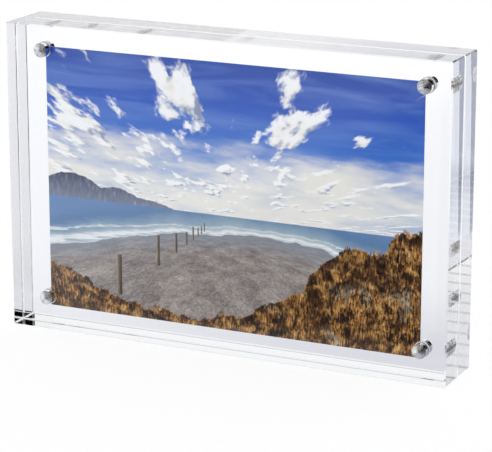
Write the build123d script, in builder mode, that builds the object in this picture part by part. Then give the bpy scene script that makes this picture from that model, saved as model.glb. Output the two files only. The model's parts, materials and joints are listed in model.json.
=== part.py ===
from build123d import *
import math
import os

# An acrylic block frame: two clear slabs with polished edges, a photo print between them,
# and four pairs of disc magnets in blind holes, which clamp the slabs on the print's corners.
# X runs to the viewer's right, Y away from the viewer and Z up. The origin is on the base,
# midway along the slabs, in the middle of the joint between them. Sizes are in millimetres.

# photo print
print_width = 152.4
print_height = 101.6
print_thickness = 0.24
print_slip = 0.02  # clearance between the print and each slab

# clear slabs, cut larger than the print by a clear margin all round
side_margin = 12.7
bottom_margin = 7.3
top_margin = 9.5
front_slab_thickness = 12.4
rear_slab_thickness = 12.4
edge_bevel = 0.45  # flat bevel that the edge polisher leaves on every edge

# disc magnets, each with its axis near a corner of the print
magnet_diameter = 5.4
magnet_length = 2.5
magnet_edge_radius = 0.3
magnet_recess = 0.25  # depth of a magnet's face below the joint face
magnet_past_side = 0.7  # magnet axis outside the print's side edge
magnet_above_foot = 3.4  # lower magnets: axis above the print's bottom edge
magnet_below_head = 1.2  # upper magnets: axis below the print's top edge

# blind holes, drilled from the joint face
hole_clearance = 0.05  # gap around a magnet, on the radius, filled by its adhesive
hole_spare_depth = 2.2  # length left empty behind a magnet
hole_mouth_bevel = 0.25
mouth_bevel_angle = 90  # full angle, in degrees
drill_point_angle = 118  # full angle, in degrees
drill_chisel_radius = 0.2  # flat end of the drill's point

# sizes worked out from those above
slab_width = print_width + 2 * side_margin
slab_height = bottom_margin + print_height + top_margin
joint_gap = print_thickness + 2 * print_slip
print_foot = bottom_margin
print_head = print_foot + print_height
magnet_radius = magnet_diameter / 2
hole_radius = magnet_radius + hole_clearance
hole_depth = magnet_recess + magnet_length + hole_spare_depth
drill_point_height = (hole_radius - drill_chisel_radius) / math.tan(math.radians(drill_point_angle / 2))

# joint faces: origin on the base, normal pointing into the slab
front_joint_face = Plane(origin=(0, -joint_gap / 2, 0), x_dir=(1, 0, 0), z_dir=(0, -1, 0))
rear_joint_face = Plane(origin=(0, joint_gap / 2, 0), x_dir=(1, 0, 0), z_dir=(0, 1, 0))

# Magnet axes: place across from the middle and height above the base, named as seen from the front.
magnet_across = print_width / 2 + magnet_past_side
lower_magnet = print_foot + magnet_above_foot
upper_magnet = print_head - magnet_below_head
corners = {
    "top_left": (-magnet_across, upper_magnet),
    "top_right": (magnet_across, upper_magnet),
    "bottom_left": (-magnet_across, lower_magnet),
    "bottom_right": (magnet_across, lower_magnet),
}

os.makedirs("parts", exist_ok=True)


def on_joint_face(joint_face, across, up, depth=0.0, z_dir=None):
    """A plane at one place on a joint face, at a depth in its slab, facing into the slab or along z_dir."""
    origin = Vector(across, joint_face.origin.Y, up) + joint_face.z_dir * depth
    return Plane(origin=origin, x_dir=(1, 0, 0), z_dir=z_dir or joint_face.z_dir)


def build_slab(name, joint_face, thickness):
    """One clear slab, bevelled all round, with its four blind magnet holes."""
    with BuildPart() as slab:
        with BuildSketch(on_joint_face(joint_face, 0, slab_height / 2)):
            Rectangle(slab_width, slab_height)
        extrude(amount=thickness)
        chamfer(slab.edges(), edge_bevel)

        out_of_slab = -joint_face.z_dir
        mouths = [on_joint_face(joint_face, across, up, 0, out_of_slab) for across, up in corners.values()]
        with Locations(*mouths):
            CounterSinkHole(
                radius=hole_radius,
                counter_sink_radius=hole_radius + hole_mouth_bevel,
                depth=hole_depth,
                counter_sink_angle=mouth_bevel_angle,
            )
        points = [on_joint_face(joint_face, across, up, hole_depth) for across, up in corners.values()]
        with Locations(*points):
            Cone(
                bottom_radius=hole_radius,
                top_radius=drill_chisel_radius,
                height=drill_point_height,
                align=(Align.CENTER, Align.CENTER, Align.MIN),
                mode=Mode.SUBTRACT,
            )
    slab.part.label = name
    export_step(slab.part, f"parts/{name}.step")


def build_magnet(name, joint_face, across, up):
    """One disc magnet, seated in its hole a little below the joint face."""
    with BuildPart() as magnet:
        with BuildSketch(on_joint_face(joint_face, across, up, magnet_recess)):
            Circle(magnet_radius)
        extrude(amount=magnet_length)
        fillet(magnet.edges().filter_by(GeomType.CIRCLE), magnet_edge_radius)
    magnet.part.label = name
    export_step(magnet.part, f"parts/{name}.step")


# two slabs, each with four magnets
build_slab("front_slab", front_joint_face, front_slab_thickness)
build_slab("rear_slab", rear_joint_face, rear_slab_thickness)
for corner, (across, up) in corners.items():
    build_magnet(f"front_magnet_{corner}", front_joint_face, across, up)
    build_magnet(f"rear_magnet_{corner}", rear_joint_face, across, up)

# photo print, centred across the slabs and clamped by its corners
with BuildPart() as photo_print:
    with BuildSketch(Plane.XZ.offset(-print_thickness / 2)):
        with Locations((0, (print_foot + print_head) / 2)):
            Rectangle(print_width, print_height)
    extrude(amount=print_thickness)
photo_print.part.label = "photo_print"
export_step(photo_print.part, "parts/photo_print.step")

print(f"slabs {slab_width:.1f} x {slab_height:.1f}, joint gap {joint_gap:.2f}")
print(f"hole depth {hole_depth:.2f} plus a {drill_point_height:.2f} drill point")
print(f"acrylic left in front of a hole's point: {front_slab_thickness - hole_depth - drill_point_height:.2f}")
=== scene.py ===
import bpy
import bmesh
import json
import math
import random
from mathutils import Matrix, Vector


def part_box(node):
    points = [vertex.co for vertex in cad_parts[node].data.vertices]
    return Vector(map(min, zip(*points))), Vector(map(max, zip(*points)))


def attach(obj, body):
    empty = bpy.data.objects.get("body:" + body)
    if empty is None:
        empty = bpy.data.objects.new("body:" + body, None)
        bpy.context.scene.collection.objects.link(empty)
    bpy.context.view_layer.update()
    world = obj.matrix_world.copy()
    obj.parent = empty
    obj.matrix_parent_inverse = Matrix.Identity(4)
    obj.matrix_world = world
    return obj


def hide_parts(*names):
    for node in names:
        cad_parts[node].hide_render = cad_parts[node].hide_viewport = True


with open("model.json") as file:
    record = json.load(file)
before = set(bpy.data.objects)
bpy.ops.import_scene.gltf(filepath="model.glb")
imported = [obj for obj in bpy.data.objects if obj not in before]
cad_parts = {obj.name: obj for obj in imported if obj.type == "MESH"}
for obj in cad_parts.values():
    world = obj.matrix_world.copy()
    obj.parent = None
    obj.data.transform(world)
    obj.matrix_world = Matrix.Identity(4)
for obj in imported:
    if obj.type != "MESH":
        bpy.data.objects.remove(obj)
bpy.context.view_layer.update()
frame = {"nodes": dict(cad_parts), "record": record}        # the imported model: its bodies, nodes, joints and record
print("frame loaded:", len(frame["nodes"]), "nodes")

mm = 0.001
scene = bpy.context.scene
scene.view_settings.view_transform = "Standard"

# Light crosses a slab many times between its polished faces before it leaves by a bevel or a hole.
scene.cycles.max_bounces = 128
scene.cycles.glossy_bounces = 112
scene.cycles.transmission_bounces = 32
scene.cycles.blur_glossy = 0.0          # else the print, behind a slab, loses a third of its light

bodyOfNode = {node: body for body, nodes in frame["record"]["behaviour"]["bodies"].items()
              for node in nodes}
cornerNames = ["top_left", "top_right", "bottom_left", "bottom_right"]
smoothStep = {"interpolation_type": "SMOOTHSTEP"}
colorMix = {"data_type": "RGBA"}


# Helpers that every material and piece uses
def linear(hexText):
    # sRGB hex to the linear color that shaders take
    parts = [int(hexText[i:i + 2], 16) / 255 for i in (1, 3, 5)]
    return tuple(c / 12.92 if c <= 0.04045 else ((c + 0.055) / 1.055) ** 2.4 for c in parts) + (1,)


def socketOf(sockets, name):
    # by place, or the first socket of that name that the node's settings leave in use
    if isinstance(name, int):
        return sockets[name]
    return next(s for s in sockets if s.name == name and s.enabled)


def addNode(tree, kind, settings=None, links=None):
    # settings: the node's own properties, its sockets' values, a ramp's stops or a curve's points
    node = tree.nodes.new("ShaderNode" + kind)
    for name, value in (settings or {}).items():
        if name == "stops":
            while len(node.color_ramp.elements) < len(value):
                node.color_ramp.elements.new(1)
            for element, (share, color) in zip(node.color_ramp.elements, value):
                element.position = share
                element.color = linear(color)
        elif name == "points":
            curve = node.mapping.curves[0]
            curve.points[0].location, curve.points[1].location = value[0], value[-1]
            for point in value[1:-1]:
                curve.points.new(*point)
            node.mapping.update()
        elif isinstance(name, str) and name in node.bl_rna.properties:
            setattr(node, name, value)
        else:
            socketOf(node.inputs, name).default_value = value
    for name, source in (links or {}).items():
        if hasattr(source, "outputs"):
            source = next(s for s in source.outputs if s.enabled)
        tree.links.new(source, socketOf(node.inputs, name))
    return node


def newMaterial(name):
    material = bpy.data.materials.new(name)
    material.use_nodes = True
    tree = material.node_tree
    tree.nodes.clear()
    return material, tree


def newPiece(name, bm):
    mesh = bpy.data.meshes.new(name)
    bm.to_mesh(mesh)
    bm.free()
    piece = bpy.data.objects.new(name, mesh)
    scene.collection.objects.link(piece)
    return piece


# Clear acrylic sheet (PMMA), cast between glass plates, sawn, its edges cut bright by a diamond
# tool, its corners scraped to a bevel and its blind holes left as the drill cut them
acrylic = {
    "ior": 1.49,
    "tint": "#FCFDFE",
    "rippleSpacing": 45 * mm,        # slow waves of a cast face
    "rippleHeight": 0.002 * mm,
    "cutterPitch": 0.9 * mm,         # real marks are 0.05 mm apart, drawn coarser so that they show
    "cutterHeight": 0.00005 * mm,
    "bevelRoughness": 0.12,          # a scraper leaves it a little duller than the edges
    "wallRoughness": 0.03,           # hole walls, burnished by the drill's lands
    "pointTint": "#C6C6CC",          # hole ends, frosted by the drill's lips
    "pointRoughness": 0.25,
    "feedPitch": 0.6 * mm,           # rings that the lips leave in a hole's end
    "feedHeight": 0.3 * mm,
}


def acrylicMaterial(name, tint, roughness, relief=None):
    # relief: a function that makes the surface's height in a tree, and that height's size
    material, tree = newMaterial(name)
    shader = addNode(tree, "BsdfPrincipled", {
        "Base Color": linear(tint), "Roughness": roughness, "IOR": acrylic["ior"],
        "Transmission Weight": 1.0})
    if relief:
        makeHeight, size = relief
        bump = addNode(tree, "Bump", {"Distance": size}, {"Height": makeHeight(tree)})
        tree.links.new(bump.outputs["Normal"], shader.inputs["Normal"])
    addNode(tree, "OutputMaterial", links={"Surface": shader})
    return material


def castRipple(tree):
    # as flat and bright as the casting glass, with a slow ripple in long reflections
    place = addNode(tree, "TexCoord")
    return addNode(tree, "TexNoise", {"Scale": 1 / acrylic["rippleSpacing"], "Detail": 1.0},
                   {"Vector": place.outputs["Object"]})


def cutterMarks(tree):
    # clear and bright, with the faintest lines where the diamond tool passed
    place = addNode(tree, "TexCoord")
    return addNode(tree, "TexNoise", {"Scale": 1 / acrylic["cutterPitch"], "Detail": 2.0},
                   {"Vector": place.outputs["Object"]})


def feedRings(tree):
    # rings round each hole's axis; folding the places across X and Z serves all four holes
    lowerLow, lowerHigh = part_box("front_magnet_bottom_right")
    upperLow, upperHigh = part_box("front_magnet_top_right")
    across = (lowerLow.x + lowerHigh.x) / 2
    lower, upper = (lowerLow.z + lowerHigh.z) / 2, (upperLow.z + upperHigh.z) / 2
    place = addNode(tree, "TexCoord")
    centred = addNode(tree, "VectorMath", {"operation": "SUBTRACT", 1: (0, 0, (lower + upper) / 2)},
                      {0: place.outputs["Object"]})
    folded = addNode(tree, "VectorMath", {"operation": "ABSOLUTE"}, {0: centred})
    flat = addNode(tree, "VectorMath", {"operation": "MULTIPLY", 1: (1, 0, 1)}, {0: folded})
    radius = addNode(tree, "VectorMath", {"operation": "DISTANCE", 1: (across, 0, (upper - lower) / 2)},
                     {0: flat})
    return addNode(tree, "TexNoise", {
        "noise_dimensions": "1D", "Scale": 1 / acrylic["feedPitch"], "Detail": 1.0}, {"W": radius})


slabMaterials = {
    "face": acrylicMaterial("castAcrylicFace", acrylic["tint"], 0.0,
                            (castRipple, acrylic["rippleHeight"])),
    "edge": acrylicMaterial("diamondCutAcrylicEdge", acrylic["tint"], 0.0,
                            (cutterMarks, acrylic["cutterHeight"])),
    "bevel": acrylicMaterial("scrapedAcrylicBevel", acrylic["tint"], acrylic["bevelRoughness"]),
    "wall": acrylicMaterial("burnishedAcrylicHole", acrylic["tint"], acrylic["wallRoughness"]),
    "point": acrylicMaterial("drilledAcrylicPoint", acrylic["pointTint"], acrylic["pointRoughness"],
                             (feedRings, acrylic["feedHeight"])),
}

# Bright nickel plate on a sintered magnet, tumbled before plating: a warm mirror, slightly soft
nickel = {"color": "#C6C2BC", "roughness": 0.04}


def brightNickelPlate():
    material, tree = newMaterial("brightNickelPlate")
    shader = addNode(tree, "BsdfPrincipled", {
        "Base Color": linear(nickel["color"]), "Metallic": 1.0, "Roughness": nickel["roughness"]})
    addNode(tree, "OutputMaterial", links={"Surface": shader})
    return material


nickelMaterial = brightNickelPlate()

# The printed picture is a made-up shore. Its lengths are millimetres on the print, its places start
# at the print's lower left corner, pairs are across and up, and tilts are radians. Outlines are
# shares of the print.
picture = {
    "horizon": 44,
    "groundNear": 40,                # how far under the horizon the ground is drawn at its own scale
    "groundReach": 45,
    "skyColors": [(0, "#C8D4E2"), (0.16, "#97B7DE"), (0.42, "#3F7CD4"), (0.7, "#1C5AC4"),
                  (1, "#1E4BAE")],
    "streakSize": (60, 7),
    "streakTilt": -0.25,
    "streakColor": "#7A9DDC",
    "veilSize": (46, 12),
    "veilShift": (3.1, 1.7, 0),      # chooses where the veil is thick
    "veilColor": "#F3F0EA",
    "veil": [(0, 0.62), (0.18, 0.72), (0.38, 0.62), (0.55, 0.35), (1, 0.1)],
    "deckLift": 13,                  # how far under the horizon the clouds' deck would vanish
    "deckNear": 44,                  # and how far above that its clouds have their own size
    "deckReach": 50,
    "deckShift": 5.3,                # chooses which clouds there are
    "cloudSun": (-1.6, -2.6, 0.6),   # where a cloud's light comes from
    "cloudSize": 15,
    "cloudCover": {"From Min": 0.535, "From Max": 0.60},
    "cloudColors": [(0, "#8E9BBB"), (0.35, "#C9CEDB"), (0.62, "#FBF8F2"), (1, "#FFFFFF")],
    "shore": [(0, 0.235), (0.2, 0.30), (0.42, 0.355), (0.62, 0.365), (0.8, 0.33), (1, 0.25)],
    "swashSize": 16,
    "swashHeight": 3,
    "waveSize": (30, 7),
    "shallows": 14,
    "seaColors": [(0, "#6C90BE"), (0.35, "#5E84B0"), (0.75, "#9DB4C4"), (1, "#D5DCDF")],
    "foamColor": "#F4F6F6",
    "foam": [(0, 0), (0.26, 0), (0.33, 0.95), (0.42, 0.5), (0.5, 0.1), (0.62, 0), (0.7, 0.75),
             (0.76, 0.1), (1, 0)],
    "headland": [(0, 0.505), (0.05, 0.53), (0.11, 0.515), (0.15, 0.485), (0.19, 0.492), (0.25, 0.462),
                 (0.31, 0.452), (0.37, 0.425), (1, 0.40)],
    "crestSize": 5,
    "crestHeight": 1.6,
    "cliffSize": (1.1, 4),
    "cliffTilt": -0.9,
    "headlandColors": [(0, "#131A33"), (0.45, "#313F68"), (0.75, "#635E6D"), (1, "#B0A498")],
    "hazeColor": "#B9C6DC",
    "hazeHeight": 9,
    "stoneSize": 0.9,
    "patchSize": 18,
    "sandColors": [(0, "#3F3A3D"), (0.45, "#8C8482"), (0.8, "#B7AEA7"), (1, "#D8D0C7")],
    "wetWidth": 7,
    "wetColor": "#8D99AA",
    "posts": 8,
    "firstPost": (30, 8),            # foot of the nearest post
    "lastPost": (66, 37),            # foot of the farthest one
    "postSize": (2.3, 17),           # size of the nearest one
    "postGrain": (0.35, 4),
    "postColors": [(0, "#B9A892"), (0.4, "#7C6A5A"), (1, "#2C231E")],
    "dune": [(0, 0.17), (0.10, 0.125), (0.26, 0.05), (0.44, 0.035), (0.58, 0.09), (0.68, 0.19),
             (0.76, 0.31), (0.84, 0.385), (0.90, 0.395), (0.95, 0.44), (1, 0.46)],
    "moundSize": 14,
    "moundHeight": 9,
    "bladeSize": (0.6, 2.6),         # coarser than real grass would print, so that it shows
    "bladeTilt": 0.28,
    "bladeHeight": 2.6,
    "tuftSize": 4.5,
    "grassColors": [(0.2, "#120B07"), (0.38, "#412A18"), (0.5, "#8A5D2C"), (0.62, "#C39048"),
                    (0.8, "#EBC884")],
    "looseSandColor": "#CDBB9B",
    "duneSun": (-2.4, 1.8, 0),       # where a mound's light comes from
    "duneShadeColor": "#6A5658",
}


def patternScale(size):
    # a pattern's size across and up, as the scale of a mapping
    return (1 / size[0], 1 / size[1], 1)


def placesOnPrint(tree, low, high):
    # where a point lies on the print: across, up, flat (both), and on the ground in perspective
    width, horizon = (high.x - low.x) / mm, picture["horizon"]
    place = addNode(tree, "TexCoord")
    corner = (-low.x / mm, 0, -low.z / mm)
    onPrint = addNode(tree, "Mapping", {"Location": corner, "Scale": (1 / mm,) * 3},
                      {"Vector": place.outputs["Object"]})
    axes = addNode(tree, "SeparateXYZ", links={0: onPrint})
    across, up = axes.outputs["X"], axes.outputs["Z"]
    belowHorizon = addNode(tree, "Math", {"operation": "SUBTRACT", 0: horizon}, {1: up})
    # a little is added and kept, so that nothing on the ground shrinks to nothing at the horizon
    nearness = addNode(tree, "Math", {"operation": "ADD", 1: 1.2}, {0: belowHorizon})
    keptNear = addNode(tree, "Math", {"operation": "MAXIMUM", 1: 0.4}, {0: nearness})
    depth = addNode(tree, "Math", {"operation": "DIVIDE", 0: picture["groundNear"]}, {1: keptNear})
    centred = addNode(tree, "Math", {"operation": "SUBTRACT", 1: width / 2}, {0: across})
    groundAcross = addNode(tree, "Math", {"operation": "MULTIPLY"}, {0: centred, 1: depth})
    groundDepth = addNode(tree, "Math", {"operation": "MULTIPLY", 1: picture["groundReach"]}, {0: depth})
    return {
        "height": (high.z - low.z) / mm, "across": across, "up": up, "centred": centred,
        "acrossShare": addNode(tree, "Math", {"operation": "DIVIDE", 1: width}, {0: across}),
        "flat": addNode(tree, "CombineXYZ", links={0: across, 1: up}),
        "aboveHorizon": addNode(tree, "Math", {"operation": "SUBTRACT", 1: horizon}, {0: up}),
        "belowHorizon": belowHorizon, "nearness": keptNear,
        "ground": addNode(tree, "CombineXYZ", links={0: groundAcross, 1: groundDepth}),
    }


def paintSky(tree, at):
    # blue, streaked, with a pale veil low down
    skyHeight = at["height"] - picture["horizon"]
    skyShare = addNode(tree, "Math", {"operation": "DIVIDE", 1: skyHeight}, {0: at["aboveHorizon"]})
    sky = addNode(tree, "ValToRGB", {"stops": picture["skyColors"]}, {"Fac": skyShare})
    streakPlace = addNode(tree, "Mapping", {
        "Rotation": (0, 0, picture["streakTilt"]), "Scale": patternScale(picture["streakSize"])},
        {"Vector": at["flat"]})
    streaks = addNode(tree, "TexNoise", {"Scale": 1, "Detail": 4, "Roughness": 0.55, "Distortion": 0.6},
                      {"Vector": streakPlace})
    streakShare = addNode(tree, "MapRange", {"From Min": 0.42, "From Max": 0.72, "To Max": 0.55},
                          {"Value": streaks})
    streaked = addNode(tree, "Mix", colorMix | {"B": linear(picture["streakColor"])},
                       {"Factor": streakShare, "A": sky})
    veilPlace = addNode(tree, "Mapping", {
        "Location": picture["veilShift"], "Scale": patternScale(picture["veilSize"])},
        {"Vector": at["flat"]})
    veilNoise = addNode(tree, "TexNoise", {"Scale": 1, "Detail": 6, "Roughness": 0.6},
                        {"Vector": veilPlace})
    veilHeight = addNode(tree, "FloatCurve", {"points": picture["veil"]}, {"Value": skyShare})
    veilSum = addNode(tree, "Math", {"operation": "ADD"}, {0: veilNoise, 1: veilHeight})
    veilShare = addNode(tree, "MapRange", smoothStep | {"From Min": 0.9, "From Max": 1.3},
                        {"Value": veilSum})
    return addNode(tree, "Mix", colorMix | {"B": linear(picture["veilColor"])},
                   {"Factor": veilShare, "A": streaked})


def paintClouds(tree, at, under):
    # a deck of clouds that shrinks toward the horizon, lit from the upper left
    lifted = addNode(tree, "Math", {"operation": "ADD", 1: picture["deckLift"]},
                     {0: at["aboveHorizon"]})
    kept = addNode(tree, "Math", {"operation": "MAXIMUM", 1: 3}, {0: lifted})
    far = addNode(tree, "Math", {"operation": "DIVIDE", 0: picture["deckNear"]}, {1: kept})
    deckAcross = addNode(tree, "Math", {"operation": "MULTIPLY"}, {0: at["centred"], 1: far})
    deckDepth = addNode(tree, "Math", {"operation": "MULTIPLY", 1: picture["deckReach"]}, {0: far})
    deck = addNode(tree, "CombineXYZ", {2: picture["deckShift"]}, {0: deckAcross, 1: deckDepth})
    beside = addNode(tree, "VectorMath", {"operation": "ADD", 1: picture["cloudSun"]}, {0: deck})
    billows = {"Scale": 1 / picture["cloudSize"], "Detail": 8, "Roughness": 0.56, "Lacunarity": 2.1}
    cloud = addNode(tree, "TexNoise", billows, {"Vector": deck})
    cloudBeside = addNode(tree, "TexNoise", billows, {"Vector": beside})
    relief = addNode(tree, "Math", {"operation": "SUBTRACT"}, {0: cloud, 1: cloudBeside})
    reliefShare = addNode(tree, "MapRange", {"From Min": -0.09, "From Max": 0.06}, {"Value": relief})
    cloudColor = addNode(tree, "ValToRGB", {"stops": picture["cloudColors"]}, {"Fac": reliefShare})
    cloudShare = addNode(tree, "MapRange", smoothStep | picture["cloudCover"], {"Value": cloud})
    return addNode(tree, "Mix", colorMix, {"Factor": cloudShare, "A": under, "B": cloudColor})


def shoreDistance(tree, at):
    # how far a point lies above the water's edge, which the swash makes uneven
    shoreShare = addNode(tree, "FloatCurve", {"points": picture["shore"]}, {"Value": at["acrossShare"]})
    shoreHeight = addNode(tree, "Math", {"operation": "MULTIPLY", 1: at["height"]}, {0: shoreShare})
    swash = addNode(tree, "TexNoise", {"Scale": 1 / picture["swashSize"], "Detail": 5, "Roughness": 0.55},
                    {"Vector": at["flat"]})
    reach = picture["swashHeight"]
    swashHeight = addNode(tree, "MapRange", {"To Min": -reach, "To Max": reach}, {"Value": swash})
    shoreLine = addNode(tree, "Math", {"operation": "ADD"}, {0: shoreHeight, 1: swashHeight})
    return addNode(tree, "Math", {"operation": "SUBTRACT"}, {0: at["up"], 1: shoreLine})


def paintSea(tree, at, fromShore):
    # waves drawn smaller toward the horizon, and foam along the shore
    wavePlace = addNode(tree, "Mapping", {"Scale": patternScale(picture["waveSize"])},
                        {"Vector": at["ground"]})
    waves = addNode(tree, "TexNoise", {"Scale": 1, "Detail": 5, "Roughness": 0.6, "Distortion": 0.4},
                    {"Vector": wavePlace})
    seaShare = addNode(tree, "MapRange", {"From Min": picture["shallows"], "From Max": 0},
                       {"Value": fromShore})
    wavy = addNode(tree, "MapRange", {"To Min": -0.35, "To Max": 0.35}, {"Value": waves})
    seaSum = addNode(tree, "Math", {"operation": "ADD"}, {0: seaShare, 1: wavy})
    sea = addNode(tree, "ValToRGB", {"stops": picture["seaColors"]}, {"Fac": seaSum})
    foamWidth = addNode(tree, "Math", {"operation": "MULTIPLY", 1: 0.16}, {0: at["nearness"]})
    foamPlace = addNode(tree, "Math", {"operation": "DIVIDE"}, {0: fromShore, 1: foamWidth})
    foamSum = addNode(tree, "Math", {"operation": "MULTIPLY_ADD", 1: 2.6}, {0: waves, 2: foamPlace})
    foamShare = addNode(tree, "MapRange", {"From Min": 0, "From Max": 6}, {"Value": foamSum})
    foam = addNode(tree, "FloatCurve", {"points": picture["foam"]}, {"Value": foamShare})
    return addNode(tree, "Mix", colorMix | {"B": linear(picture["foamColor"])},
                   {"Factor": foam, "A": sea})


def paintHeadland(tree, at, underSky, under):
    # low land far away on the left, in haze
    rough = addNode(tree, "TexNoise", {"Scale": 1 / picture["crestSize"], "Detail": 8, "Roughness": 0.6},
                    {"Vector": at["flat"]})
    topShare = addNode(tree, "FloatCurve", {"points": picture["headland"]}, {"Value": at["acrossShare"]})
    top = addNode(tree, "Math", {"operation": "MULTIPLY", 1: at["height"]}, {0: topShare})
    reach = picture["crestHeight"]
    roughHeight = addNode(tree, "MapRange", {"To Min": -reach, "To Max": reach}, {"Value": rough})
    ridge = addNode(tree, "Math", {"operation": "ADD"}, {0: top, 1: roughHeight})
    underRidge = addNode(tree, "Math", {"operation": "LESS_THAN"}, {0: at["up"], 1: ridge})
    onLand = addNode(tree, "Math", {"operation": "SUBTRACT"}, {0: underRidge, 1: underSky})
    mask = addNode(tree, "Math", {"operation": "MAXIMUM", 1: 0}, {0: onLand})
    cliffPlace = addNode(tree, "Mapping", {
        "Rotation": (0, 0, picture["cliffTilt"]), "Scale": patternScale(picture["cliffSize"])},
        {"Vector": at["flat"]})
    cliffs = addNode(tree, "TexNoise", {"Scale": 1, "Detail": 6, "Roughness": 0.65},
                     {"Vector": cliffPlace})
    cliffShare = addNode(tree, "MapRange", {"From Min": 0.33, "From Max": 0.68}, {"Value": cliffs})
    land = addNode(tree, "ValToRGB", {"stops": picture["headlandColors"]}, {"Fac": cliffShare})
    hazeShare = addNode(tree, "MapRange", {
        "From Max": picture["hazeHeight"], "To Min": 0.36, "To Max": 0.06},
        {"Value": at["aboveHorizon"]})
    hazy = addNode(tree, "Mix", colorMix | {"B": linear(picture["hazeColor"])},
                   {"Factor": hazeShare, "A": land})
    return addNode(tree, "Mix", colorMix, {"Factor": mask, "A": under, "B": hazy})


def paintShingle(tree, at, fromShore, under):
    # gray shingle between the water and the dunes, wet near the water
    stones = addNode(tree, "TexVoronoi", {"Scale": 1 / picture["stoneSize"]}, {"Vector": at["ground"]})
    stoneTone = addNode(tree, "SeparateColor", links={"Color": stones.outputs["Color"]})
    patches = addNode(tree, "TexNoise", {"Scale": 1 / picture["patchSize"], "Detail": 7, "Roughness": 0.7},
                      {"Vector": at["ground"]})
    patchTone = addNode(tree, "MapRange", {"From Min": 0.25, "From Max": 0.75, "To Max": 0.8},
                        {"Value": patches})
    tone = addNode(tree, "Math", {"operation": "MULTIPLY_ADD", 1: 0.3}, {0: stoneTone, 2: patchTone})
    sand = addNode(tree, "ValToRGB", {"stops": picture["sandColors"]}, {"Fac": tone})
    wetShare = addNode(tree, "MapRange", {"From Min": -picture["wetWidth"], "From Max": 0, "To Max": 0.7},
                       {"Value": fromShore})
    wet = addNode(tree, "Mix", colorMix | {"B": linear(picture["wetColor"])},
                  {"Factor": wetShare, "A": sand})
    mask = addNode(tree, "Math", {"operation": "LESS_THAN", 1: 0}, {0: fromShore})
    return addNode(tree, "Mix", colorMix, {"Factor": mask, "A": under, "B": wet})


def paintPosts(tree, at, under):
    # weathered posts in a row down to the water, evenly spaced in true perspective
    chance = random.Random(11)
    horizon, (nearX, nearZ), (farX, farZ) = picture["horizon"], picture["firstPost"], picture["lastPost"]
    nearDepth, farDepth = 1 / (horizon - nearZ), 1 / (horizon - farZ)
    for i in range(picture["posts"]):
        fall = 1 / (nearDepth + (farDepth - nearDepth) * i / (picture["posts"] - 1))
        size = fall * nearDepth
        nearShare = (size - nearDepth / farDepth) / (1 - nearDepth / farDepth)
        middle = farX + (nearX - farX) * nearShare
        width, foot = picture["postSize"][0] * size, horizon - fall
        height = picture["postSize"][1] * size * chance.uniform(0.75, 1.15)
        lean = chance.uniform(-0.03, 0.03)
        leaning = addNode(tree, "Math", {"operation": "MULTIPLY_ADD", 1: lean},
                          {0: at["up"], 2: at["across"]})
        aside = addNode(tree, "Math", {"operation": "SUBTRACT", 1: middle + lean * foot}, {0: leaning})
        inWidth = addNode(tree, "Math", {"operation": "COMPARE", 1: 0, 2: width / 2}, {0: aside})
        inHeight = addNode(tree, "Math", {"operation": "COMPARE", 1: foot + height / 2, 2: height / 2},
                           {0: at["up"]})
        mask = addNode(tree, "Math", {"operation": "MULTIPLY"}, {0: inWidth, 1: inHeight})
        shade = addNode(tree, "MapRange", {"From Min": -width / 2, "From Max": width / 2},
                        {"Value": aside})
        side = addNode(tree, "Math", {"operation": "MULTIPLY"}, {0: mask, 1: shade})
        if i:
            mask = addNode(tree, "Math", {"operation": "MAXIMUM"}, {0: postMask, 1: mask})
            side = addNode(tree, "Math", {"operation": "MAXIMUM"}, {0: postSide, 1: side})
        postMask, postSide = mask, side
    grainPlace = addNode(tree, "Mapping", {"Scale": patternScale(picture["postGrain"])},
                         {"Vector": at["flat"]})
    grain = addNode(tree, "TexNoise", {"Scale": 1, "Detail": 4}, {"Vector": grainPlace})
    grainTone = addNode(tree, "MapRange", {"To Min": -0.5, "To Max": 0.5}, {"Value": grain})
    postTone = addNode(tree, "Math", {"operation": "ADD"}, {0: postSide, 1: grainTone})
    posts = addNode(tree, "ValToRGB", {"stops": picture["postColors"]}, {"Fac": postTone})
    return addNode(tree, "Mix", colorMix, {"Factor": postMask, "A": under, "B": posts})


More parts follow.
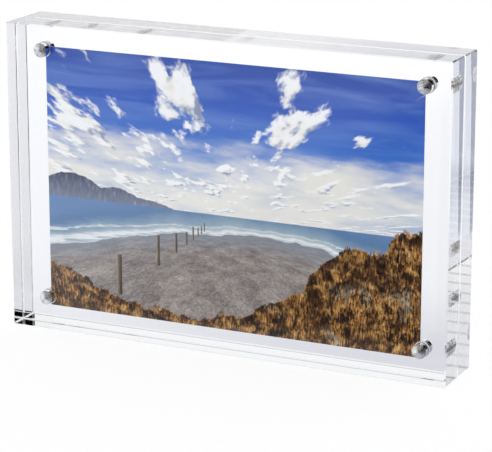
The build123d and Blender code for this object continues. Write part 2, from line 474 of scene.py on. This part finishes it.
def paintDunes(tree, at, under):
    # dry grass on dunes that rise to the right, with loose sand and shaded hollows
    duneShare = addNode(tree, "FloatCurve", {"points": picture["dune"]}, {"Value": at["acrossShare"]})
    duneHeight = addNode(tree, "Math", {"operation": "MULTIPLY", 1: at["height"]}, {0: duneShare})
    mounds = {"Scale": 1 / picture["moundSize"], "Detail": 5, "Roughness": 0.6}
    hummocks = addNode(tree, "TexNoise", mounds, {"Vector": at["flat"]})
    rise = picture["moundHeight"]
    hummockHeight = addNode(tree, "MapRange", {"To Min": -rise, "To Max": rise}, {"Value": hummocks})
    beside = addNode(tree, "VectorMath", {"operation": "ADD", 1: picture["duneSun"]}, {0: at["flat"]})
    hummocksBeside = addNode(tree, "TexNoise", mounds, {"Vector": beside})
    bladePlace = addNode(tree, "Mapping", {
        "Rotation": (0, 0, picture["bladeTilt"]), "Scale": patternScale(picture["bladeSize"])},
        {"Vector": at["flat"]})
    blades = addNode(tree, "TexNoise", {"Scale": 1, "Detail": 5, "Roughness": 0.62, "Distortion": 0.8},
                     {"Vector": bladePlace})
    tip = picture["bladeHeight"]
    bladeHeight = addNode(tree, "MapRange", {"To Min": -tip, "To Max": tip}, {"Value": blades})
    duneTop = addNode(tree, "Math", {"operation": "ADD"}, {0: duneHeight, 1: hummockHeight})
    grassTop = addNode(tree, "Math", {"operation": "ADD"}, {0: duneTop, 1: bladeHeight})
    mask = addNode(tree, "Math", {"operation": "LESS_THAN"}, {0: at["up"], 1: grassTop})
    tufts = addNode(tree, "TexNoise", {
        "Scale": 1 / picture["tuftSize"], "Detail": 6, "Roughness": 0.65, "Distortion": 0.5},
        {"Vector": at["flat"]})
    tuftTone = addNode(tree, "Math", {"operation": "ADD"}, {0: tufts, 1: blades})
    grassTone = addNode(tree, "MapRange", {"From Min": 0.62, "From Max": 1.42}, {"Value": tuftTone})
    grass = addNode(tree, "ValToRGB", {"stops": picture["grassColors"]}, {"Fac": grassTone})
    bareSum = addNode(tree, "Math", {"operation": "MULTIPLY_ADD", 1: 0.35}, {0: blades, 2: hummocks})
    bareShare = addNode(tree, "MapRange", smoothStep | {"From Min": 0.76, "From Max": 0.86},
                        {"Value": bareSum})
    sandy = addNode(tree, "Mix", colorMix | {"B": linear(picture["looseSandColor"])},
                    {"Factor": bareShare, "A": grass})
    relief = addNode(tree, "Math", {"operation": "SUBTRACT"}, {0: hummocks, 1: hummocksBeside})
    shade = addNode(tree, "MapRange", {"From Min": -0.02, "From Max": 0.09, "To Max": 0.9},
                    {"Value": relief})
    shadeColor = linear(picture["duneShadeColor"])
    shaded = addNode(tree, "Mix", colorMix | {"blend_type": "MULTIPLY", "B": shadeColor},
                     {"Factor": shade, "A": sandy})
    return addNode(tree, "Mix", colorMix, {"Factor": mask, "A": under, "B": shaded})


def paintShore(tree, low, high):
    # the whole picture, from the sky forward
    at = placesOnPrint(tree, low, high)
    fromShore = shoreDistance(tree, at)
    underSky = addNode(tree, "Math", {"operation": "GREATER_THAN", 1: 0}, {0: at["belowHorizon"]})
    sky = paintClouds(tree, at, paintSky(tree, at))
    sea = paintSea(tree, at, fromShore)
    scenery = addNode(tree, "Mix", colorMix, {"Factor": underSky, "A": sky, "B": sea})
    scenery = paintHeadland(tree, at, underSky, scenery)
    scenery = paintShingle(tree, at, fromShore, scenery)
    scenery = paintPosts(tree, at, scenery)
    return paintDunes(tree, at, scenery)


# Photo paper, coated with resin on both sides
paper = {
    "coatRoughness": 0.32,
    "coatIor": 1.5,
    "backColor": "#F1F0EC",
    "backRoughness": 0.5,
    "fibreSize": 0.8 * mm,           # real fibres are 0.03 mm wide, drawn coarser so that they show
    "fibreHeight": 0.002 * mm,
}


def printedPhotoPaper(low, high):
    # ink under a smooth coat: deep colors and a soft sheen
    material, tree = newMaterial("printedPhotoPaper")
    shader = addNode(tree, "BsdfPrincipled", {
        "Roughness": paper["coatRoughness"], "IOR": paper["coatIor"]},
        {"Base Color": paintShore(tree, low, high)})
    addNode(tree, "OutputMaterial", links={"Surface": shader})
    return material


def whitePhotoPaper():
    # plain coated back and cut edges, smooth but not glossy
    material, tree = newMaterial("whitePhotoPaper")
    place = addNode(tree, "TexCoord")
    fibres = addNode(tree, "TexNoise", {"Scale": 1 / paper["fibreSize"], "Detail": 3},
                     {"Vector": place.outputs["Object"]})
    bump = addNode(tree, "Bump", {"Distance": paper["fibreHeight"]}, {"Height": fibres})
    shader = addNode(tree, "BsdfPrincipled", {
        "Base Color": linear(paper["backColor"]), "Roughness": paper["backRoughness"],
        "IOR": paper["coatIor"]}, {"Normal": bump})
    addNode(tree, "OutputMaterial", links={"Surface": shader})
    return material


print("materials made")

# Slabs, cut from sheet and drilled from the joint face
slab = {
    "edgeBevel": 0.45 * mm,
    "mouthBevel": 0.25 * mm,
    "holeClearance": 0.05 * mm,
    "spareDepth": 2.2 * mm,          # empty length behind a magnet
    "drillPointAngle": 118,
    "chiselRadius": 0.2 * mm,
    "adhesiveLap": 0.01 * mm,        # clear adhesive joins the slab optically to the magnet's side
    "segments": 128,
    "sharpAngle": 25,
    "squareLimit": 0.99,             # a face less square than this to every axis is a bevel
    "pointLimit": 0.3,               # a hole's face that looks this much along it is its end
}
magnet = {"edgeRadius": 0.3 * mm, "roundSteps": 6, "segments": 128, "sharpAngle": 35}


def lathe(name, profile, segments):
    # profile: (radius, height) pairs from the axis back to the axis, turned about Z
    bm = bmesh.new()
    rings = []
    for radius, height in profile:
        turn = [2 * math.pi * i / segments for i in range(segments if radius else 1)]
        rings.append([bm.verts.new((radius * math.cos(a), radius * math.sin(a), height)) for a in turn])
    for lower, upper in zip(rings, rings[1:]):
        for i in range(segments):
            around = [(lower, i), (lower, i + 1), (upper, i + 1), (upper, i)]
            bm.faces.new(list(dict.fromkeys(ring[place % len(ring)] for ring, place in around)))
    bmesh.ops.recalc_face_normals(bm, faces=bm.faces)
    return newPiece(name, bm)


def intoSlab(side, x, jointY, z):
    # turns a lathe's Z axis into a slab, from a place on its joint face
    turn = Matrix.Rotation(math.radians(90 if side == "front" else -90), 4, "X")
    return Matrix.Translation((x, jointY, z)) @ turn


def drillProfile(magnetRadius, recess, length):
    # the drill's own shape, with a waist where adhesive closes the gap round the magnet
    radius = magnetRadius + slab["holeClearance"]
    bonded = magnetRadius - slab["adhesiveLap"]
    bondStart = recess + magnet["edgeRadius"]
    bondEnd = recess + length - magnet["edgeRadius"]
    depth = recess + length + slab["spareDepth"]
    point = (radius - slab["chiselRadius"]) / math.tan(math.radians(slab["drillPointAngle"] / 2))
    overrun = 1 * mm
    return [
        (0, -overrun), (radius + slab["mouthBevel"], -overrun), (radius + slab["mouthBevel"], 0),
        (radius, slab["mouthBevel"]), (radius, bondStart), (bonded, bondStart), (bonded, bondEnd),
        (radius, bondEnd), (radius, depth), (slab["chiselRadius"], depth + point), (0, depth + point)]


def boxPiece(name, low, high, bevel=0):
    bm = bmesh.new()
    bmesh.ops.create_cube(bm, size=1)
    bmesh.ops.scale(bm, vec=high - low, verts=bm.verts)
    bmesh.ops.translate(bm, vec=(low + high) / 2, verts=bm.verts)
    if bevel:
        bmesh.ops.bevel(bm, geom=bm.edges[:], offset=bevel, segments=1, affect="EDGES")
    return newPiece(name, bm)


def drillHole(piece, drill):
    cut = piece.modifiers.new("drill", "BOOLEAN")
    cut.object = drill
    cut.solver = "EXACT"
    bpy.context.view_layer.update()
    graph = bpy.context.evaluated_depsgraph_get()
    drilled = bpy.data.meshes.new_from_object(piece.evaluated_get(graph))
    piece.modifiers.clear()
    piece.data = drilled
    bpy.data.objects.remove(drill)


def surfaceOf(face, axes, holeReach):
    # which of a slab's surfaces a face belongs to
    normal = [abs(part) for part in face.normal]
    if any(math.hypot(face.center.x - a.x, face.center.z - a.z) < holeReach for a in axes):
        return "point" if normal[1] > slab["pointLimit"] else "wall"
    if max(normal) < slab["squareLimit"]:
        return "bevel"
    return "face" if normal[1] > slab["squareLimit"] else "edge"


def makeSlab(node, side):
    low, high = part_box(node)
    jointY = high.y if side == "front" else low.y
    piece = boxPiece(node + "_acrylic", low, high, slab["edgeBevel"])
    axes = []
    for corner in cornerNames:
        magnetLow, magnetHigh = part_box(f"{side}_magnet_{corner}")
        centre = (magnetLow + magnetHigh) / 2
        axes.append(centre)
        recess, magnetEnd = sorted([abs(magnetLow.y - jointY), abs(magnetHigh.y - jointY)])
        magnetRadius = (magnetHigh.x - magnetLow.x) / 2
        drill = lathe("drill", drillProfile(magnetRadius, recess, magnetEnd - recess), slab["segments"])
        drill.matrix_world = intoSlab(side, centre.x, jointY, centre.z)
        drillHole(piece, drill)
    holeReach = magnetRadius + slab["holeClearance"] + slab["mouthBevel"]
    piece.data.materials.clear()
    for material in slabMaterials.values():
        piece.data.materials.append(material)
    surfaces = list(slabMaterials)
    for face in piece.data.polygons:
        face.material_index = surfaces.index(surfaceOf(face, axes, holeReach))
    piece.data.shade_smooth()
    piece.data.set_sharp_from_angle(angle=math.radians(slab["sharpAngle"]))
    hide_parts(node)
    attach(piece, bodyOfNode[node])


def makeMagnet(node, side):
    low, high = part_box(node)
    radius, length, rounding = (high.x - low.x) / 2, high.y - low.y, magnet["edgeRadius"]
    steps = [math.pi / 2 * i / magnet["roundSteps"] for i in range(magnet["roundSteps"] + 1)]
    flat = radius - rounding
    nearRound = [(flat + rounding * math.sin(a), rounding - rounding * math.cos(a)) for a in steps]
    farRound = [(flat + rounding * math.cos(a), length - rounding + rounding * math.sin(a)) for a in steps]
    piece = lathe(node + "_disc", [(0, 0)] + nearRound + farRound + [(0, length)], magnet["segments"])
    centre = (low + high) / 2
    piece.data.transform(intoSlab(side, centre.x, high.y if side == "front" else low.y, centre.z))
    piece.data.shade_smooth()
    piece.data.set_sharp_from_angle(angle=math.radians(magnet["sharpAngle"]))
    piece.data.materials.append(nickelMaterial)
    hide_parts(node)
    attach(piece, bodyOfNode[node])


def makePrint():
    low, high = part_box("photo_print")
    piece = boxPiece("photo_print_sheet", low, high)
    piece.data.materials.append(printedPhotoPaper(low, high))
    piece.data.materials.append(whitePhotoPaper())
    for face in piece.data.polygons:
        face.material_index = 0 if round(face.normal.y) == -1 else 1     # the picture is in front
    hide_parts("photo_print")
    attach(piece, bodyOfNode["photo_print"])


for side in ("front", "rear"):
    makeSlab(side + "_slab", side)
    for corner in cornerNames:
        makeMagnet(f"{side}_magnet_{corner}", side)
makePrint()
print("pieces made")

# Camera, at the photograph's angle; angles in degrees, lens and sensor in their own millimetres,
# place in metres
camera = {
    "azimuth": 25.242,
    "elevation": 15.464,
    "lens": 169.02,
    "sensorWidth": 36,
    "place": (0.35619, -0.74565, 0.2751),
}


def makeCamera():
    data = bpy.data.cameras.new("camera")
    data.lens = camera["lens"]
    data.sensor_width = camera["sensorWidth"]
    cameraObject = bpy.data.objects.new("camera", data)
    scene.collection.objects.link(cameraObject)
    cameraObject.location = camera["place"]
    az, el = math.radians(camera["azimuth"]), math.radians(camera["elevation"])
    forward = Vector((-math.sin(az) * math.cos(el), math.cos(az) * math.cos(el), -math.sin(el)))
    cameraObject.rotation_euler = forward.to_track_quat("-Z", "Y").to_euler()
    scene.camera = cameraObject


makeCamera()

# Studio: a white table in a white room. Only light that went through or was mirrored by the block
# sees painted light and shade: the table brightens with distance behind and carries a painted soft
# shade, and mirrors in the block see painted reflections of gray, dark and pale card shapes, a dark
# front of the table, a dark side of the room and a gray ceiling, so the table and the clear margins
# stay plain. Places on the table are in metres; limits in the room are parts of a direction.
studio = {
    "tableHalf": 6,
    "tableDrop": 0.02 * mm,          # keeps the table clear of the block's foot
    "shadowShare": 0.15,             # part of the table's white that shading can take away
    "tableTint": "#FEFDFF",
    "tableLight": (1.035, 1.155),    # under the block, and at the distance behind it given next
    "tableLightEnd": 0.5,
    "shadePlace": (0.1, -0.02, 0),   # the block's own soft shade, seen straight through it
    "shadeReach": 0.33,
    "shadeSquash": 2.4,              # how much shorter it reaches in depth than in width
    "shadeColor": "#E0DFE6",
    "mirroredPaintedShade": 0.10,            # painted shade: part of the table's light taken away where mirrors in the block see it
    "frontReflectionColor": "#26262A",         # painted dark reflection of the table in front, in the block's outer faces
    # painted reflections, seen only in the block's mirrors: left, right, front and back edge, softness of the edges,
    # and color; later ones lie on top
    "paintedCards": [
        (-3, 3, -3, -0.04, 0.04, "#7E8293"),
        (0.01, 0.3, -0.03, 0.12, 0.06, "#B4B4BE"),
        (0.18, 3, -3, 0.3, 0.04, "#050506"),
        (-0.07, 0.6, -3, -0.03, 0.03, "#020203"),
        (-0.40, -0.09, -0.70, -0.02, 0.03, "#E8ECF8"),
        (-0.5, -0.095, 0.03, 0.7, 0.03, "#98A0B6"),
    ],
    "darkSideReflectionColor": "#020203",         # painted dark reflection: black on the room's dark side, gray in the middle of its depth
    "darkSide": {"From Min": -0.20, "From Max": -0.10},
    "darkTop": {"From Min": 0.48, "From Max": 0.44},
    "grayMiddle": {"From Min": 0.60, "From Max": 0.75, "To Min": 0.66},
    # painted gray reflection of the ceiling, seen only in the block's mirrors
    "ceiling": {"From Min": 0.60, "From Max": 0.75},
    "ceilingReflectionColor": "#DADADA",
}


def blockPath(tree, mirrored):
    # 1 for light that reached here through the block or, where mirrored is set, by a mirror in it,
    # and that met no matt surface; else 0
    path = addNode(tree, "LightPath")
    noMatt = addNode(tree, "Math", {"operation": "LESS_THAN", 1: 0.5},
                     {0: path.outputs["Diffuse Depth"]})
    if mirrored:
        met = addNode(tree, "Math", {"operation": "GREATER_THAN", 1: 0.5},
                      {0: path.outputs["Glossy Depth"]})
    else:
        met = addNode(tree, "Math", {"operation": "MAXIMUM"},
                      {0: path.outputs["Is Glossy Ray"], 1: path.outputs["Is Transmission Ray"]})
    return addNode(tree, "Math", {"operation": "MULTIPLY"}, {0: met, 1: noMatt})


def shadedTable(tree, place, axes):
    # white, with the block's own soft shade
    near, far = studio["tableLight"]
    light = addNode(tree, "MapRange", {"From Max": studio["tableLightEnd"], "To Min": near, "To Max": far},
                    {"Value": axes.outputs["Y"]})
    white = addNode(tree, "VectorMath", {"operation": "SCALE", 0: linear(studio["tableTint"])[:3]},
                    {"Scale": light})
    squashed = addNode(tree, "VectorMath", {"operation": "MULTIPLY", 1: (1, studio["shadeSquash"], 1)},
                       {0: place})
    fromShade = addNode(tree, "VectorMath", {"operation": "DISTANCE", 1: studio["shadePlace"]},
                        {0: squashed})
    shadeShare = addNode(tree, "MapRange", smoothStep | {"From Min": studio["shadeReach"], "From Max": 0},
                         {"Value": fromShade})
    return addNode(tree, "Mix", colorMix | {"B": linear(studio["shadeColor"])},
                   {"Factor": shadeShare, "A": white})


def paintedCardReflections(tree, axes, mirrored, under):
    # painted reflections: gray, dark and pale card shapes with soft edges, seen only by light that the block mirrors
    seen = under
    for left, right, front, back, softness, color in studio["paintedCards"]:
        share = mirrored
        for axis, low, high in (("X", left, right), ("Y", front, back)):
            offset = addNode(tree, "Math", {"operation": "SUBTRACT", 1: (low + high) / 2},
                             {0: axes.outputs[axis]})
            distance = addNode(tree, "Math", {"operation": "ABSOLUTE"}, {0: offset})
            outer, inner = (high - low + softness) / 2, (high - low - softness) / 2
            inside = addNode(tree, "MapRange", smoothStep | {"From Min": outer, "From Max": inner},
                             {"Value": distance})
            share = addNode(tree, "Math", {"operation": "MULTIPLY"}, {0: share, 1: inside})
        seen = addNode(tree, "Mix", colorMix | {"B": linear(color)}, {"Factor": share, "A": seen})
    return seen


def paintedDarkFront(tree, axes, mirrored, under):
    # painted dark reflection: the table in front turns dark for light that the outer faces mirror, which would else
    # veil the print
    path = addNode(tree, "LightPath")
    outside = addNode(tree, "Math", {"operation": "LESS_THAN", 1: 0.5},
                      {0: path.outputs["Transmission Depth"]})
    inFront = addNode(tree, "Math", {"operation": "LESS_THAN", 1: 0}, {0: axes.outputs["Y"]})
    onFront = addNode(tree, "Math", {"operation": "MULTIPLY"}, {0: outside, 1: inFront})
    share = addNode(tree, "Math", {"operation": "MULTIPLY"}, {0: onFront, 1: mirrored})
    return addNode(tree, "Mix", colorMix | {"B": linear(studio["frontReflectionColor"])},
                   {"Factor": share, "A": under})


def tableInBlock(tree, place):
    # what the block shows of the table: painted light and shade, and painted reflections where it mirrors
    axes = addNode(tree, "SeparateXYZ", links={0: place})
    shaded = shadedTable(tree, place, axes)
    mirrored = blockPath(tree, True)
    # painted shade on the table where the block mirrors it
    mirroredShadeShare = addNode(tree, "Math", {"operation": "MULTIPLY", 1: studio["mirroredPaintedShade"]}, {0: mirrored})
    dimmed = addNode(tree, "Mix", colorMix | {"B": (0, 0, 0, 1)}, {"Factor": mirroredShadeShare, "A": shaded})
    return paintedDarkFront(tree, axes, mirrored, paintedCardReflections(tree, axes, mirrored, dimmed))


def makeTable():
    half = studio["tableHalf"]
    corners = [(-half, -half, 0), (half, -half, 0), (half, half, 0), (-half, half, 0)]
    mesh = bpy.data.meshes.new("table")
    mesh.from_pydata(corners, [], [(0, 1, 2, 3)])
    table = bpy.data.objects.new("table", mesh)
    scene.collection.objects.link(table)
    table.location.z = -studio["tableDrop"]
    material, tree = newMaterial("whiteLaminateTable")
    place = addNode(tree, "TexCoord")
    plainWhite = addNode(tree, "Emission", {"Color": (1, 1, 1, 1)})
    shadedWhite = addNode(tree, "BsdfDiffuse", {"Color": (1, 1, 1, 1)})
    openTable = addNode(tree, "MixShader", {0: studio["shadowShare"]}, {1: plainWhite, 2: shadedWhite})
    # for light through or mirrored by the block: painted light, shade and reflections as emission
    throughBlock = addNode(tree, "Emission", links={"Color": tableInBlock(tree, place.outputs["Object"])})
    surface = addNode(tree, "MixShader", links={0: blockPath(tree, False), 1: openTable, 2: throughBlock})
    addNode(tree, "OutputMaterial", links={"Surface": surface})
    mesh.materials.append(material)


def makeRoom():
    world = bpy.data.worlds.new("studio")
    scene.world = world
    world.use_nodes = True
    tree = world.node_tree
    tree.nodes.clear()
    place = addNode(tree, "TexCoord")
    axes = addNode(tree, "SeparateXYZ", links={0: place.outputs["Generated"]})
    side = addNode(tree, "MapRange", smoothStep | studio["darkSide"], {"Value": axes.outputs["X"]})
    low = addNode(tree, "MapRange", smoothStep | studio["darkTop"], {"Value": axes.outputs["Z"]})
    inDepth = addNode(tree, "Math", {"operation": "ABSOLUTE"}, {0: axes.outputs["Y"]})
    middle = addNode(tree, "MapRange", smoothStep | studio["grayMiddle"], {"Value": inDepth})
    darkSide = addNode(tree, "Math", {"operation": "MULTIPLY"}, {0: side, 1: middle})
    dark = addNode(tree, "Math", {"operation": "MULTIPLY"}, {0: darkSide, 1: low})
    walls = addNode(tree, "Mix", colorMix | {"A": (1, 1, 1, 1), "B": linear(studio["darkSideReflectionColor"])},
                    {"Factor": dark})
    ceiling = addNode(tree, "MapRange", smoothStep | studio["ceiling"], {"Value": axes.outputs["Z"]})
    room = addNode(tree, "Mix", colorMix | {"B": linear(studio["ceilingReflectionColor"])},
                   {"Factor": ceiling, "A": walls})
    # the room is plain white except for light that the block mirrors, which sees a painted dark side and a painted
    # gray ceiling
    color = addNode(tree, "Mix", colorMix | {"A": (1, 1, 1, 1)},
                    {"Factor": blockPath(tree, True), "B": room})
    background = addNode(tree, "Background", {"Strength": 1}, {"Color": color})
    addNode(tree, "OutputWorld", links={"Surface": background})


makeTable()
makeRoom()
print("camera and studio made")
